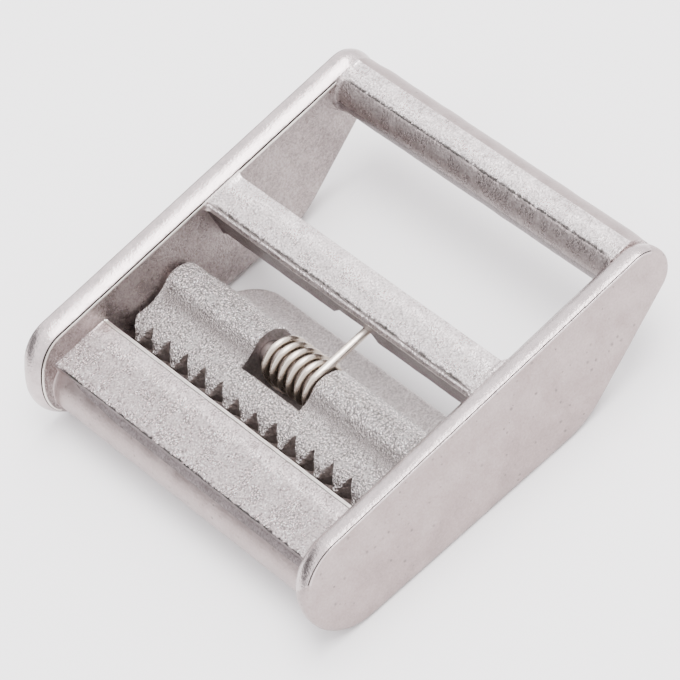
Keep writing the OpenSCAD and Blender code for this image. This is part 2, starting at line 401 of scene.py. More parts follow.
@dataclass(frozen=True)
class SteelFinish:
    """One finish of 316 stainless steel, with its sizes in millimetres.

    The colour wanders between two greys. Grain is the relief left by the ceramic mould or the
    blasting bead, and pits are the small holes where gas came out of the casting, painted darker
    as painted shade in the holes. Glints are painted highlights on single grains. The painted
    shade is a darker colour laid in bands along lines: painted shade along the bars' edges, in
    the cam's dip and between the spring's turns. Calm is where wear has smoothed the grain.
    Blasted, tumbled and drawn faces have a finer grain than 0.2 mm, which is drawn as coarse as
    it needs to show.
    """

    name: str
    light: str
    dark: str
    roughness: float
    rough_spread: float
    grain: float
    relief: float
    fleck: float = 0.5
    patch: float = 3.0
    patch_share: float = 0.4
    patch_span: Pair = (0.3, 0.7)
    pit_size: float = 0.0
    pit_share: float = 0.0
    pit_spacing: float = 6.0
    # The pits are painted darker: painted shade in the holes
    painted_pit_shade: str = "6f6866"
    # Painted highlight: near-white glints painted on scattered grains
    spark: float = 0.0
    spark_size: float = 0.17
    spark_rare: float = 0.72
    spark_gain: float = 0.3
    spark_edge: float = 0.05
    painted_glint_colour: str = "fbf8f7"
    # Painted shade: a darker colour laid in a band of uneven width along lines
    painted_shade: str = "454141"
    painted_shade_w: float = 0.26
    painted_shade_least: float = 0.08
    painted_shade_edge: float = 0.5
    painted_shade_wave: float = 0.5
    painted_shade_span: Pair = (0.38, 0.66)
    painted_shade_from: float = 18.7
    painted_shade_to: float = 19.7
    calm_from: float = 0.5
    calm_to: float = 2.0
    calm_drift: float = 0.5
    calm_least: float = 0.12

    def away(self, tree: bpy.types.NodeTree, place: Socket, lines: list[Pair]) -> Socket:
        """Measures how far a point is from the nearest of some lines across the buckle.

        Args:
            tree: the material's nodes.
            place: the position on the surface.
            lines: the lines, as y and z in metres.

        Returns:
            The distance in metres.
        """
        split = add_node(tree, "SeparateXYZ", {0: place})
        side = add_node(tree, "CombineXYZ", {"Y": split.outputs["Y"], "Z": split.outputs["Z"]})
        gaps = []
        for y, z in lines:
            gap = add_node(tree, "VectorMath", {0: side.outputs[0], 1: (0.0, y, z)}, operation="DISTANCE")
            gaps.append(gap.outputs["Value"])
        nearest = gaps[0]
        for gap in gaps[1:]:
            nearest = add_node(tree, "Math", {0: nearest, 1: gap}, operation="MINIMUM").outputs[0]
        return nearest

    def painted_shade_band(self, tree: bpy.types.NodeTree, place: Socket, lines: list[Pair]) -> Socket:
        """Masks the uneven painted shade along some lines, which ends before the side plates.

        Args:
            tree: the material's nodes.
            place: the position on the surface.
            lines: the lines, as y and z in metres.

        Returns:
            The mask, 1 where the painted shade lies.
        """
        wander = add_node(tree, "TexNoise", {
            "Vector": place, "Scale": 1/(self.painted_shade_wave*MM), "Detail": 4.0, "Roughness": 0.8})
        width = add_node(tree, "MapRange", {
            "Value": wander.outputs["Fac"], "From Min": self.painted_shade_span[0], "From Max": self.painted_shade_span[1],
            "To Min": self.painted_shade_least*self.painted_shade_w*MM, "To Max": self.painted_shade_w*MM})
        share = add_node(tree, "Math", {
            0: self.away(tree, place, lines), 1: width.outputs["Result"]}, operation="DIVIDE")
        mask = add_node(tree, "MapRange", {
            "Value": share.outputs[0], "From Min": 1.0, "From Max": self.painted_shade_edge})
        split = add_node(tree, "SeparateXYZ", {0: place})
        out = add_node(tree, "Math", {0: split.outputs["X"]}, operation="ABSOLUTE")
        inside = add_node(tree, "MapRange", {
            "Value": out.outputs[0], "From Min": self.painted_shade_to*MM, "From Max": self.painted_shade_from*MM})
        return add_node(tree, "Math", {
            0: mask.outputs["Result"], 1: inside.outputs["Result"]}, operation="MULTIPLY").outputs[0]

    def liveliness(self, tree: bpy.types.NodeTree, place: Socket, broad: Socket,
                   calm: list[Pair]) -> Socket:
        """Fades the grain out towards worn edges, unevenly.

        Args:
            tree: the material's nodes.
            place: the position on the surface.
            broad: the broad patches, which move the fade to and fro.
            calm: the worn edges, as y and z in metres.

        Returns:
            The grain's strength, least on the edges and 1 away from them.
        """
        drift = add_node(tree, "MapRange", {
            "Value": broad, "To Min": -self.calm_drift*MM, "To Max": self.calm_drift*MM})
        gap = add_node(tree, "Math", {
            0: self.away(tree, place, calm), 1: drift.outputs["Result"]}, operation="ADD")
        return add_node(tree, "MapRange", {
            "Value": gap.outputs[0], "From Min": self.calm_from*MM, "From Max": self.calm_to*MM,
            "To Min": self.calm_least}).outputs["Result"]

    def painted_glints(self, tree: bpy.types.NodeTree, place: Socket, alive: Socket | None) -> Socket:
        """Masks the grains painted as bright glints: a painted highlight.

        Args:
            tree: the material's nodes.
            place: the position on the surface.
            alive: the grain's strength, or none where no edge is worn.

        Returns:
            The mask, 1 on a painted glint.
        """
        speckle = add_node(tree, "TexNoise", {
            "Vector": place, "Scale": 1/(self.spark_size*MM), "Detail": 1.0, "Roughness": 0.4})
        level = self.spark_rare - self.spark_gain*self.spark
        glint = add_node(tree, "MapRange", {
            "Value": speckle.outputs["Fac"], "From Min": level - self.spark_edge,
            "From Max": level + self.spark_edge}).outputs["Result"]
        if alive is None:
            return glint
        return add_node(tree, "Math", {0: glint, 1: alive}, operation="MULTIPLY").outputs[0]

    def pits(self, tree: bpy.types.NodeTree, place: Socket) -> Socket:
        """Masks the pits, of uneven size, which are painted darker as painted shade in the holes.

        Args:
            tree: the material's nodes.
            place: the position on the surface.

        Returns:
            The mask, 1 in the middle of a pit.
        """
        cells = add_node(tree, "TexVoronoi", {
            "Vector": place, "Scale": 1/(self.pit_size*self.pit_spacing*MM)}, feature="F1")
        size = add_node(tree, "Math", {
            0: cells.outputs["Color"], 1: self.pit_share}, operation="MULTIPLY")
        return add_node(tree, "MapRange", {
            "Value": cells.outputs["Distance"], "From Min": size.outputs[0],
            "From Max": 0.0}).outputs["Result"]

    def build(self, lines: list[Pair] | None = None,
              calm: list[Pair] | None = None) -> bpy.types.Material:
        """Makes the material.

        Args:
            lines: lines along which painted shade is laid, or none.
            calm: edges that wear has smoothed, or none.

        Returns:
            The material.
        """
        material = bpy.data.materials.new(self.name)
        material.use_nodes = True
        tree = material.node_tree
        shader = tree.nodes["Principled BSDF"]
        place = add_node(tree, "TexCoord").outputs["Object"]
        grain = add_node(tree, "TexNoise", {
            "Vector": place, "Scale": 1/(self.grain*MM), "Detail": 3.0, "Roughness": 0.6})
        patch = add_node(tree, "TexNoise", {
            "Vector": place, "Scale": 1/(self.patch*MM), "Detail": 3.0, "Roughness": 0.55})
        fleck = add_node(tree, "MapRange", {
            "Value": grain.outputs["Fac"], "From Min": 0.5 - self.fleck/2,
            "From Max": 0.5 + self.fleck/2})
        broad = add_node(tree, "MapRange", {
            "Value": patch.outputs["Fac"], "From Min": self.patch_span[0],
            "From Max": self.patch_span[1]}).outputs["Result"]
        blend = add_node(tree, "Mix", {
            "Factor": self.patch_share, "A": fleck.outputs["Result"], "B": broad}, data_type="FLOAT")
        colour = add_node(tree, "Mix", {
            "Factor": blend.outputs[0], "A": linear(self.dark), "B": linear(self.light)},
            data_type="RGBA").outputs[2]
        height = grain.outputs["Fac"]
        alive = self.liveliness(tree, place, broad, calm) if calm else None
        # Painted glints, painted shade in the pits, and painted shade along lines, laid over the grain's
        # colour
        layers = []
        if self.spark:
            layers.append((self.painted_glints(tree, place, alive), self.painted_glint_colour, False))
        if self.pit_size:
            layers.append((self.pits(tree, place), self.painted_pit_shade, True))
        if lines:
            layers.append((self.painted_shade_band(tree, place, lines), self.painted_shade, True))
        for mask, cover, sunk in layers:
            colour = add_node(tree, "Mix", {
                "Factor": mask, "A": colour, "B": linear(cover)}, data_type="RGBA").outputs[2]
            if sunk:
                height = add_node(tree, "Math", {0: height, 1: mask}, operation="SUBTRACT").outputs[0]
        gloss = add_node(tree, "MapRange", {
            "Value": broad, "To Min": self.roughness - self.rough_spread,
            "To Max": self.roughness + self.rough_spread})
        bump = add_node(tree, "Bump", {
            "Strength": 1.0 if alive is None else alive, "Distance": self.relief*MM, "Height": height})
        shader.inputs["Metallic"].default_value = 1.0
        tree.links.new(colour, shader.inputs["Base Color"])
        tree.links.new(gloss.outputs["Result"], shader.inputs["Roughness"])
        tree.links.new(bump.outputs["Normal"], shader.inputs["Normal"])
        return material


# Satin, bead-blasted flat faces: even, soft, faintly pink grey with a few fine pits
SATIN = SteelFinish("316_stainless_bead_blasted", "b2a4a2", "8f817f", 0.4, 0.06, 0.24, 0.05,
                    patch=2.4, patch_share=0.55, pit_size=0.16, pit_share=0.28)
# Tumbled rims: the same steel rubbed brighter, so it shows sharp bands of light
RIM = SteelFinish("316_stainless_tumbled", "c8bcbb", "a99d9c", 0.21, 0.05, 0.26, 0.05,
                  patch=1.6, patch_share=0.6)
# As-cast faces: grain from the ceramic mould, with painted glints, and dark, uneven painted shade along the
# bars' edges
GRAIN = SteelFinish("316_stainless_as_cast", "e2d5d4", "736866", 0.28, 0.06, 0.2, 0.34,
                    fleck=0.34, patch=1.4, patch_share=0.2, spark=0.22, painted_shade_w=0.36)
# As-cast faces that hands and webbing rub: the same grain, lighter, with painted glints and painted shade
# along the edges
BRIGHT = SteelFinish("316_stainless_as_cast_rubbed", "f8eeed", "8d8381", 0.29, 0.06, 0.2, 0.32,
                     fleck=0.36, patch=1.4, patch_share=0.2, spark=0.2,
                     painted_shade_w=0.36, painted_shade="57534f", painted_shade_edge=0.2)
# Cast faces that the tumbling reached: fine grain, mid grey, with painted shade along the bars' edges
SIDE = SteelFinish("316_stainless_cast_and_tumbled", "b5aaa8", "7a706e", 0.28, 0.08, 0.22, 0.1,
                   fleck=0.34, patch=1.6, patch_share=0.4)
# Seam in the grooves at the rim's edge and at the front bar's rear, and the pin hole's wall: painted shade,
# dark where shade falls in them
SEAM_PAINTED_SHADE = SteelFinish("316_stainless_seam_painted_shade", "443d3c", "292524", 0.6, 0.05, 0.3, 0.02)
# Lip beside the seam, the front bar's rear beads and the middle bar's parting line: a thin warm line of
# painted highlight
LIP_PAINTED_HIGHLIGHT = SteelFinish("316_stainless_lip_painted_highlight", "f6f0ea", "dcd3cb", 0.28, 0.04, 0.4, 0.01)
# Narrow faces under the bars' edges and the bars' lower front faces: the casting's dark skin, painted darker
# still as painted shade where they lie in shade
SKIN_PAINTED_SHADE = SteelFinish("316_stainless_casting_skin_painted_shade", "93898a", "5d5452", 0.34, 0.06, 0.22, 0.14,
                   fleck=0.34, patch=1.8, patch_share=0.25)
# Cam casting: the deepest grain, with the brightest flecks and painted glints, and a broad painted shade in
# its dip
CAM_GRAIN = SteelFinish("316_stainless_investment_cast", "e4dcda", "544c4a", 0.24, 0.06, 0.2, 0.37,
                        fleck=0.32, patch=1.2, patch_share=0.12, spark=0.2, spark_size=0.15,
                        painted_shade="8f8886", painted_shade_w=1.7, painted_shade_least=0.75, painted_shade_edge=0.1, painted_shade_wave=2.0)
# Tooth flanks, painted lighter so that they stay light deep in the gap: painted light in place of the light
# that reaches them from above
TOOTH_PAINTED_LIGHT = SteelFinish("316_stainless_tooth_painted_light", "e2d9d5", "847b78", 0.4, 0.06, 0.4, 0.2,
                    fleck=0.4, patch=0.9, patch_share=0.4)
# Undercut of the teeth: painted shade under the tips, darker than the flanks
UNDERCUT_PAINTED_SHADE = SteelFinish("316_stainless_undercut_painted_shade", "b8afac", "7a716e", 0.5, 0.05, 0.4, 0.1)
# The spring's gap in the cam: dark and dull, painted shade in the hollow
GAP_PAINTED_SHADE = SteelFinish("316_stainless_gap_painted_shade", "a29a98", "6c6563", 0.5, 0.05, 0.3, 0.1)
# Lever plate: blasted coarsely, so it shows a light grey with fine grain
LEVER_FLAT = SteelFinish("316_stainless_coarse_blasted", "e2dbda", "9a9290", 0.36, 0.05, 0.21, 0.2,
                         fleck=0.34, patch=2.0, patch_share=0.25)
# Spring wire, drawn bright, with painted shade between the turns: thin lines of painted highlight on a darker
# coil.
# The painted shade is measured from the coil's axis, and leaves the outermost 0.04 mm light
WIRE = SteelFinish("302_stainless_spring_wire_drawn", "e6dcd1", "cabfb3", 0.27, 0.05, 0.35, 0.01,
                   patch=1.5, patch_share=0.4, painted_shade="a89d91", painted_shade_w=2.574, painted_shade_least=0.995, painted_shade_edge=0.985)
# Pin, drawn bar with a satin end
PIN = SteelFinish("316_stainless_drawn_bar", "a89c9a", "988c8a", 0.33, 0.04, 0.3, 0.004)


@dataclass
class SideView:
    """Places points of the tilted side view in the frame.

    The pin's axis is the anchor: its place in the side view is known, and the frame gives its
    place in the row. The wedge is the angle between the plates' top edge and the ground.
    """

    anchor: Vector
    pin: Pair = (14.24, -5.6)
    wedge: float = WEDGE

    def place(self, x: np.ndarray | float, u: np.ndarray | float, v: np.ndarray | float) -> np.ndarray:
        """Turns side-view millimetres to metres in the frame.

        Args:
            x: distances across the buckle.
            u: distances back from the front bar's top edge.
            v: heights above the plates' top edge.

        Returns:
            An array of positions, with the coordinates last.
        """
        c, s = math.cos(math.radians(self.wedge)), math.sin(math.radians(self.wedge))
        du, dv = u - self.pin[0], v - self.pin[1]
        y = self.anchor.y/MM + du*c - dv*s
        z = self.anchor.z/MM + du*s + dv*c
        return np.stack(np.broadcast_arrays(x, y, z), axis=-1)*MM

    def line(self, point: Pair) -> Pair:
        """Gives y and z, in metres, of the line across the buckle through a point."""
        _, y, z = self.place(0.0, *point)
        return float(y), float(z)


def bore(view: SideView, radius: float, span: Pair, slot: int, steel: Steels) -> bpy.types.Object:
    """Makes the rod that cuts a hole for the pin.

    Args:
        view: the side view.
        radius: the hole's radius.
        span: where the rod starts and ends across the buckle.
        slot: the material slot of the hole's wall.
        steel: the piece's materials.

    Returns:
        The rod.
    """
    circle = arc(view.pin, radius, 0, 360, 48)[:-1]
    rings = [view.place(x, *circle.T) for x in span]
    return loft("bore", np.array(rings), lambda r, k: np.full(r.shape, slot), (slot, slot), steel)


@dataclass
class SidePlate:
    """One side plate: a flat web with a domed rim all round.

    The dome leans inwards, and ends in a fine groove and a bead where the mould halves met.
    Along the outer face they stay crisp on top only, and are tumbled away round the ends.
    """

    side: int
    inner_w: float = CLEAR_W
    thickness: float = 2.6
    height: float = PLATE_H
    nose_front: float = -3.0
    rear_r: float = 2.4
    rear_reach: float = 42.2
    rear_slope: float = 27.5
    heel_r: float = 9.0
    nose_recess: float = 0.5
    recess_from: float = 95.0
    recess_to: float = 215.0
    dome_r: float = 2.27
    dome_peak: float = 0.45
    dome_lean: float = 0.487
    inner_bead: float = 0.11
    outer_bead: float = 0.06
    inner_seam: float = 0.19
    outer_seam: float = 0.1
    web_ring: float = 1.4
    outer_crisp: Pair = (125.0, 60.0)
    inner_crisp: Pair = (200.0, 35.0)
    crisp_fade: float = 40.0
    crisp_level: float = 0.8
    dome_level: Pair = (0.4, 0.38)
    dome_half: float = 0.92
    dome_rows: int = 15
    soft_edge: float = 0.94
    unevenness: float = 0.018
    wave: float = 2.2
    step: float = 0.3

    def path(self, wedge: float) -> tuple[np.ndarray, np.ndarray, np.ndarray]:
        """Follows the plate's outline.

        Args:
            wedge: the fall of the lower edge, in degrees.

        Returns:
            Points, outward normals, and the normals' directions in degrees, from 90 on the
            straight top edge round the nose, and on to 450.
        """
        fall, climb = math.tan(math.radians(wedge)), math.tan(math.radians(self.rear_slope))
        sw, cw = math.sin(math.radians(wedge)), math.cos(math.radians(wedge))
        cs = math.cos(math.radians(self.rear_slope))
        nose_r = (self.height + fall*self.nose_front)/(1 + 1/cw - fall)
        nose_u = self.nose_front + nose_r
        rear_u = self.rear_reach - self.rear_r
        slant_v = -(self.rear_r + climb*rear_u + self.rear_r/cs)
        heel_u = (-slant_v - self.height)/(climb + fall)
        heel_v = -self.height - fall*heel_u
        tangent = self.heel_r*math.tan(math.radians(wedge + self.rear_slope)/2)
        heel_c = (heel_u - tangent*cw + self.heel_r*sw, heel_v + tangent*sw + self.heel_r*cw)
        runs = [
            (arc((nose_u, -nose_r), nose_r, 90, 270 - wedge, 60), (90, 270 - wedge)),
            (arc(heel_c, self.heel_r, 270 - wedge, 270 + self.rear_slope, 16),
             (270 - wedge, 270 + self.rear_slope)),
            (arc((rear_u, -self.rear_r), self.rear_r, self.rear_slope - 90, 90, 36),
             (270 + self.rear_slope, 450)),
        ]
        points, turns = [], []
        for i, (run, (start, end)) in enumerate(runs):
            points.extend(run)
            turns.extend(np.linspace(start, end, len(run)))
            after = runs[(i + 1) % len(runs)][0][0]
            cuts = math.ceil(np.linalg.norm(after - run[-1])/self.step)
            for k in range(1, cuts):
                points.append(run[-1] + (after - run[-1])*k/cuts)
                turns.append(end)
        turn = np.array(turns)
        normals = np.stack([np.cos(np.radians(turn)), np.sin(np.radians(turn))], axis=1)
        return np.array(points), normals, turn

    def crispness(self, turn: np.ndarray, limits: Pair) -> np.ndarray:
        """Tells how crisp the seam is along the outline.

        Args:
            turn: the normals' directions.
            limits: the directions up to which it stays crisp, at the nose and at the rear.

        Returns:
            1 on the top edge, and 0 past the limits.
        """
        nose, rear = limits
        ahead = 1 - ease(turn, nose, nose + self.crisp_fade)
        behind = ease(turn, 360 + rear - self.crisp_fade, 360 + rear)
        return np.maximum(ahead, behind)

    def dome(self, w: float) -> float:
        """Height of the dome at a place in the thickness."""
        return math.sqrt(self.dome_r**2 - (w - self.dome_lean)**2) - self.dome_r + self.dome_peak

    def shore(self, end: int, bead: float, seam: float, face: Surface,
              bead_finish: Surface) -> list[tuple[Pair, Pair, Surface, Surface]]:
        """Lists one edge of the rim, from the face up to the dome.

        Args:
            end: 1 for the outer edge, -1 for the inner edge.
            bead: the width of the bead between face and seam.
            seam: the seam's width and depth.
            face: the finish of the face.
            bead_finish: the finish of the bead.

        Returns:
            For each point its place with a crisp seam and with a soft edge, and the finish of
            the strip that starts there in both cases.
        """
        half, edge = self.thickness/2, self.thickness/2 - bead - seam
        top, high = self.dome(end*edge), self.dome(end*self.soft_edge)
        crisp = [(half, -self.web_ring), (half, top - 0.3), (half, top - 0.2),
                 (half - 0.02, top - 0.12), (half - 0.3*bead, top - 0.06), (half - bead, top - 0.05),
                 (half - bead - 0.5*seam, top - seam), (edge, top)]
        soft = [(half, -self.web_ring), (half, high - 0.8), (half - 0.01, high - 0.6),
                (half - 0.04, high - 0.44), (half - 0.08, high - 0.31), (half - 0.15, high - 0.19),
                (half - 0.23, high - 0.1), (self.soft_edge + 0.04, high - 0.035)]
        # The seam's groove takes painted shade, and the inner bead a painted highlight
        kinds = [face, face, *[bead_finish]*3, Surface.SEAM_PAINTED_SHADE, Surface.SEAM_PAINTED_SHADE, Surface.RIM]
        return [((end*c[0], c[1]), (end*s[0], s[1]), kind, face)
                for c, s, kind in zip(crisp, soft, kinds)]

    def build(self, view: SideView, steel: Steels) -> bpy.types.Object:
        """Makes the plate's mesh.

        Args:
            view: the side view.
            steel: the casting's materials.

        Returns:
            The plate.
        """
        points, normals, turn = self.path(view.wedge)
        middle, half = (self.recess_from + self.recess_to)/2, (self.recess_to - self.recess_from)/2
        recess = self.nose_recess*ease(1 - np.abs(turn - middle)/half, 0, 1)
        crisp = {-1: self.crispness(turn, self.inner_crisp), 1: self.crispness(turn, self.outer_crisp)}
        inner = self.shore(-1, self.inner_bead, self.inner_seam, Surface.SIDE, Surface.LIP_PAINTED_HIGHLIGHT)
        outer = self.shore(1, self.outer_bead, self.outer_seam, Surface.SATIN, Surface.RIM)[::-1]
        dome = [((w, self.dome(w)), (w, self.dome(w)), Surface.RIM, Surface.SATIN)
                for w in np.linspace(-self.dome_half, self.dome_half, self.dome_rows)]
        rows = inner + dome + outer
        centre = self.side*(self.inner_w + self.thickness)/2
        rings = []
        for c, s, _, _ in rows:
            share = crisp[-1 if s[0] < 0 else 1]
            w, h = s[0] + (c[0] - s[0])*share, s[1] + (c[1] - s[1])*share
            at = points + normals*(h - recess)[:, None]
            spots = np.column_stack([np.full(len(at), centre + self.side*s[0]), at])
            bumps = cast_bumps(spots, self.wave, 3.1*self.side)
            at = at + normals*(self.unevenness*bumps*ease(h, -0.5, 0.1))[:, None]
            rings.append(view.place(centre + self.side*w, *at.T))
        hard = [kind.value for _, _, kind, _ in inner + dome + outer[1:]] + [Surface.SATIN.value]
        mild = [kind.value for _, _, _, kind in rows]
        hard, mild, across = np.array(hard), np.array(mild), np.array([s[0] for _, s, _, _ in rows])
        domed = np.repeat([False, True, False], [len(inner), len(dome), len(outer)])
        level = np.where(domed, self.dome_level[0] + self.dome_level[1]*across, self.crisp_level)
        either = np.maximum(crisp[-1], crisp[1])

        def slots(r: np.ndarray, k: np.ndarray) -> np.ndarray:
            """Gives the crisp stretches their seam of painted shade and their bead, and the tumbled ones the
            face's finish.

            Args:
                r: ring numbers.
                k: point numbers.

            Returns:
                A material slot for each face.
            """
            share = np.where(domed[r], either[k], np.where(across[r] < 0, crisp[-1][k], crisp[1][k]))
            return np.where(share > level[r], hard[r], mild[r])

        return loft("side_plate", np.array(rings), slots, (Surface.SIDE.value, Surface.SATIN.value), steel)


@dataclass
class Bar:
    """A bar of the casting, drawn by its section and flared into both side plates.

    The flare tells from the normals how much of the fillet each point takes, the bow draws
    points in beside the plates, and the slide moves points along the section. The edge is
    worn unevenly, and no fillet rises over the ceiling.
    """

    name: str
    section: np.ndarray
    flare: Callable[[np.ndarray], np.ndarray]
    finish: Callable[[np.ndarray, np.ndarray], np.ndarray]
    inner_w: float = CLEAR_W
    radius: float = 0.65
    sink: float = 0.25
    step: float = 0.28
    unevenness: float = 0.03
    fine_share: float = 0.6
    fine_wave: float = 0.9
    broad_wave: float = 2.8
    seed: float = 0.0
    edge: Pair = (0.0, 0.0)
    edge_w: float = 0.16
    edge_d: float = 0.06
    edge_wave: float = 1.1
    ceiling: float = 0.0
    bow: Callable[[np.ndarray, float], np.ndarray] | None = None
    slide: Callable[[np.ndarray, float], np.ndarray] | None = None

    def stations(self) -> np.ndarray:
        """Lists where the section is drawn, closer together in the fillets.

        Returns:
            The places across the buckle.
        """
        half = self.inner_w/2
        near = half - self.radius*(1 - np.cos(np.linspace(0, math.pi/2, 9)))
        middle = np.linspace(-near[-1], near[-1], math.ceil(2*near[-1]/self.step))
        ends = np.concatenate([[half + self.sink], near[:-1]])
        return np.concatenate([-ends, middle, ends[::-1]])

    def build(self, view: SideView, steel: Steels) -> bpy.types.Object:
        """Makes the bar's mesh.

        Args:
            view: the side view.
            steel: the casting's materials.

        Returns:
            The bar.
        """
        base = spread(self.section, self.step, self.edge)
        near = 1 - ease(np.hypot(*(base - self.edge).T), 0.4*self.edge_w, 1.6*self.edge_w)
        kinds = self.finish(base, outward(base))
        rings = []
        for x in self.stations():
            points = self.slide(base, x) if self.slide else base
            normals = outward(points)
            depth = self.inner_w/2 - abs(x)
            grow = fillet(depth, self.radius)*self.flare(normals)
            if self.bow:
                grow = grow + self.bow(normals, depth)
            where = np.column_stack([np.full(len(points), x), points])
            bumps = self.fine_share*cast_bumps(where, self.fine_wave, self.seed)
            bumps = bumps + cast_bumps(where, self.broad_wave, self.seed + 7)
            grow = grow + self.unevenness*bumps*ease(depth, 0.0, 0.6)
            worn_and_painted_light = 0.5 + cast_bumps(np.array([[1.4*x, self.seed, 0.0]]), self.edge_wave, 0.3)[0]
            grow = grow - self.edge_d*near*ease(worn_and_painted_light, 0.2, 0.8)
            at = points + normals*grow[:, None]
            at[:, 1] = np.minimum(at[:, 1], np.maximum(points[:, 1], self.ceiling))
            rings.append(view.place(x, *at.T))
        return loft(self.name, np.array(rings), lambda r, k: kinds[k], (kinds[0], kinds[0]), steel)


@dataclass
class CastFrame:
    """The one-piece casting: two side plates and three bars."""

    inner_w: float = CLEAR_W
    front_w: float = 6.1
    front_drop: float = 2.5
    nose_centre: Pair = (1.6, -6.35)
    nose_r: float = 3.4
    front_foot: float = 1.5
    front_foot_v: float = -9.35
    front_edge_r: float = 0.5
    facet: float = 1.4
    facet_line: float = 0.08
    facet_run: float = 9.6
    facet_at: tuple[float, ...] = (0.0, 0.34, 1.0)
    facet_share: tuple[float, ...] = (0.04, 0.61, 1.0)
    middle_u: float = 21.1
    middle_w: float = 3.9
    middle_h: float = 4.4
    middle_top: float = -0.4
    blunt_v: float = -1.0
    parting_v: float = -2.95
    draft_up: float = 0.55
    draft_down: float = 0.3
    rear_centre: Pair = (39.9, -2.6)
    rear_r: float = 2.8
    rear_flat: float = -0.06
    notch_w: float = 4.7
    notch_x: float = 1.55
    notch_depth: float = 1.9
    notch_flare: float = 2.1
    pin_hole_r: float = 1.275
    pin_hole: Pair = (-30.0, -18.0)

    def rear_edges(self) -> Pair:
        """Gives the front and the back edge of the rear bar's flat."""
        half = math.sqrt(self.rear_r**2 - (self.rear_flat - self.rear_centre[1])**2)
        return self.rear_centre[0] - half, self.rear_centre[0] + half

    def edges(self, view: SideView) -> tuple[list[Pair], list[Pair]]:
        """Lists the edges across the buckle that carry painted shade, and those that are worn.

        Args:
            view: the side view.

        Returns:
            The edges with painted shade, and those that wear has smoothed, as y and z in metres.
        """
        near, far = self.rear_edges()
        painted_shade_edges = [(0.0, -self.front_drop), (self.middle_u, self.middle_top), (near, self.rear_flat)]
        worn_and_painted_light = [(self.front_w, -self.front_drop), (self.middle_u + self.middle_w, self.middle_top),
                (far, self.rear_flat)]
        return [view.line(point) for point in painted_shade_edges], [view.line(point) for point in worn_and_painted_light]

    def front_bar(self) -> Bar:
        """Describes the front bar, which the strap runs over.

        Returns:
            The bar, with a facet on its nose that narrows towards the left plate.
        """
        back, top = self.front_w + self.front_edge_r, -self.front_drop
        nose = np.vstack([[(0.0, top)], arc(self.nose_centre, self.nose_r, 118, 270, 60)])
        run = travelled(nose)
        wanted = np.unique(np.concatenate([
            np.linspace(0, self.facet - self.facet_line, 10), [self.facet],
            np.arange(self.facet + 0.15, run[-1], 0.2), [run[-1]]]))
        nose = np.stack([np.interp(wanted, run, part) for part in nose.T], axis=1)
        foot = arc((back - self.front_foot, self.front_foot_v + self.front_foot),
                   self.front_foot, 270, 360, 8)
        crease, line = (back - 0.19, top - 0.25), (back - 0.38, top - 0.09)
        section = outline(
            nose, foot, arc((back - 0.11, top - 0.33), 0.11, 0, 110, 6), [crease],
            arc((back - 0.28, top - 0.15), 0.1, 0, 100, 6), [line], [(back - 0.46, top)])

        def flare(n: np.ndarray) -> np.ndarray:
            """Fillets the nose, and hardly the top."""
            return 0.2*ease(n[:, 1], 0.2, 0.9) + 0.22*ease(-n[:, 0], 0.3, 0.9)*ease(n[:, 1], -0.9, 0.0)

        def finish(p: np.ndarray, n: np.ndarray) -> np.ndarray:
            """Grain on the flat top, painted shade on the facet under its edge, beads of painted highlight
            and lines of painted shade at the rear.

            Args:
                p: the section's points.
                n: their normals.

            Returns:
                A material slot for each point.
            """
            drop, rear = top - p[:, 1], p[:, 0] > back - 0.43
            grooves = (np.hypot(*(p - line).T) < 0.05) | (np.hypot(*(p - crease).T) < 0.06)
            return dress(
                Surface.SATIN,
                ((drop < 0.04) & (n[:, 1] > 0.6), Surface.GRAIN),
                (travelled(p) < self.facet - 0.01, Surface.SKIN_PAINTED_SHADE),
                (rear, Surface.SIDE),
                (rear & (drop < 0.3), Surface.LIP_PAINTED_HIGHLIGHT),
                (rear & (drop >= 0.34) & (drop < 1.2), Surface.SKIN_PAINTED_SHADE),
                (grooves, Surface.SEAM_PAINTED_SHADE))

        def slide(p: np.ndarray, x: float) -> np.ndarray:
            """Narrows the facet towards the left end, by moving rows along the nose.

            Args:
                p: the section's points.
                x: the place across the buckle.

            Returns:
                The moved points.
            """
            share = np.interp((x + self.inner_w/2)/self.facet_run, self.facet_at, self.facet_share)
            along = travelled(p)
            ahead = along < 3*self.facet
            width, reach = self.facet*share, along[ahead][-1]
            moved = np.where(along < self.facet, along*share,
                             width + (along - self.facet)*(reach - width)/(reach - self.facet))
            out = p.copy()
            for axis in (0, 1):
                out[ahead, axis] = np.interp(moved[ahead], along[ahead], p[ahead, axis])
            return out

        return Bar("front_bar", section, flare, finish, seed=1.7, radius=0.5, slide=slide,
                   edge=(0.0, top), ceiling=top + 0.3)

    def middle_bar(self) -> Bar:
        """Describes the middle bar, with a blunt front edge over a slanting face.

        Returns:
            The bar, before the spring's notch is cut.
        """
        top, low = self.middle_top, self.middle_top - self.middle_h
        front, back = self.middle_u, self.middle_u + self.middle_w
        lip = front - self.draft_up
        section = outline([
            (back, top), (front, top), (front - 0.08, top - 0.12), (front - 0.3, top - 0.3),
            (lip + 0.05, self.blunt_v + 0.06), (lip - 0.02, self.blunt_v),
            (lip + 0.02, self.blunt_v - 0.1), (lip + self.draft_down, low),
            (back + self.draft_up - self.draft_down, low), (back + self.draft_up, self.parting_v)])

        def flare(n: np.ndarray) -> np.ndarray:
            """Fillets the top, and the sides a little."""
            return ease(n[:, 1], 0.3, 0.95) + 0.25*ease(np.abs(n[:, 0]), 0.4, 0.9)*ease(-n[:, 1], -0.7, 0.1)

